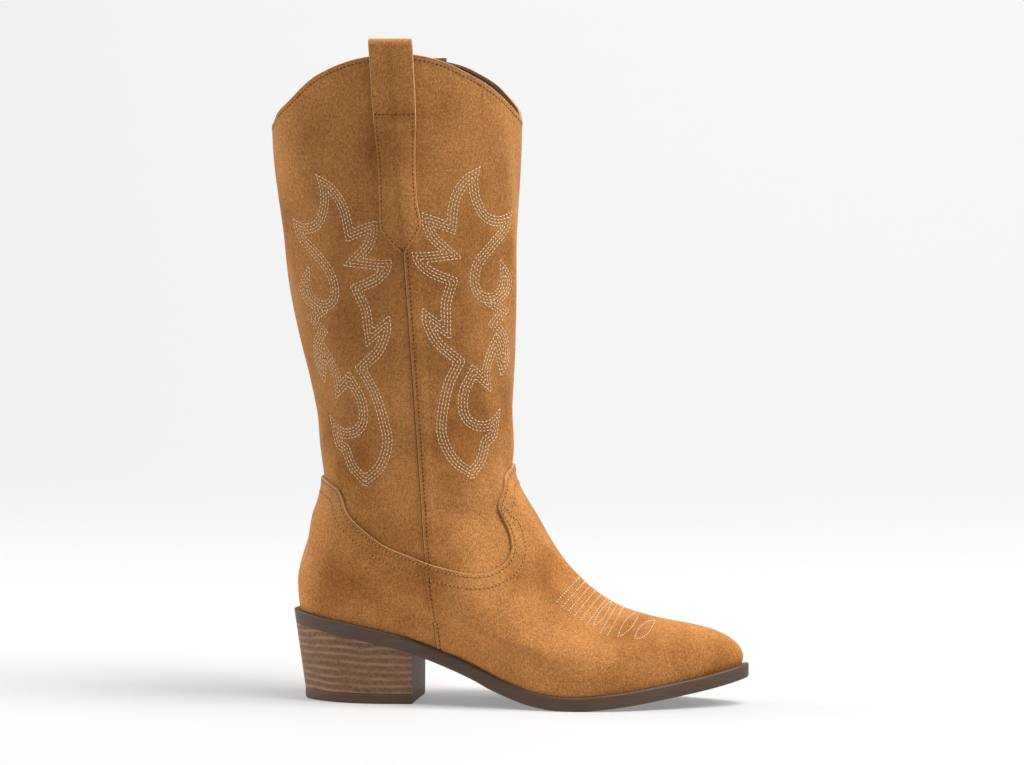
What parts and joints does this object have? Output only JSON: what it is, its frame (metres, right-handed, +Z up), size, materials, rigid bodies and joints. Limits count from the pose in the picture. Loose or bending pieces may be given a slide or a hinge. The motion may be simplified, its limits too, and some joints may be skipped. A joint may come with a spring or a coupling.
{
  "type": "cowboy boot",
  "caption": "Mid-calf western boot for the right foot with a block heel, pointed toe, dipped topline, pull strap and inner side zip.",
  "frame": {"origin": "centre of the heel's rest face on the floor", "axes": "+X towards the toe, +Z up along the shaft, -Y to the outer side of the right foot, +Y to the inner side with the zip"},
  "size_m": [0.2977, 0.1082, 0.4089],
  "materials": {
    "suede": "napped suede, warm tan with darker rubbed patches",
    "lining": "smooth dark lining cloth",
    "tape": "woven zip tape",
    "zip_metal": "aged brass",
    "steel": "plain",
    "board": "stiff fibre board, pale tan",
    "outsole": "moulded brown resin rubber with a leather look",
    "heel_stack": "dark stacked layers with pale grain lines",
    "top_lift": "matte black rubber"
  },
  "bodies": {
    "boot": {"outsole": "outsole", "heel_block": "heel_stack", "heel_top_lift": "top_lift", "top_lift_pins": "steel", "heel_nails": "steel", "heel_screw": "steel", "shank": "steel", "bottom_filler": "board", "insole_board": "board", "sock_lining": "lining", "vamp": "suede", "heel_counter": "suede", "shaft_front": "suede", "shaft_back": "suede", "toe_puff": "board", "heel_stiffener": "board", "vamp_lining": "lining", "heel_lining": "lining", "shaft_lining_front": "lining", "shaft_lining_back": "lining", "pull_strap": "suede", "zip_tape_front": "tape", "zip_tape_back": "tape", "zip_chain_front": "zip_metal", "zip_chain_back": "zip_metal", "zip_top_stops": "zip_metal", "zip_bottom_stop": "zip_metal", "zip_guard": "lining"},
    "slider": {"zip_slider": "zip_metal"},
    "puller": {"zip_puller": "zip_metal"}
  },
  "joints": [
    {"name": "zip_slide", "type": "slide", "parent": "boot", "child": "slider", "axis": [0.0519, -0.0482, -0.9975], "range_m": [0, 0.244]},
    {"name": "puller_swing", "type": "hinge", "parent": "slider", "child": "puller", "pos_m": [0.03146, 0.05308, 0.38797], "axis": [0.9922, -0.1107, 0.0569], "range_deg": [0, 150]}
  ]
}
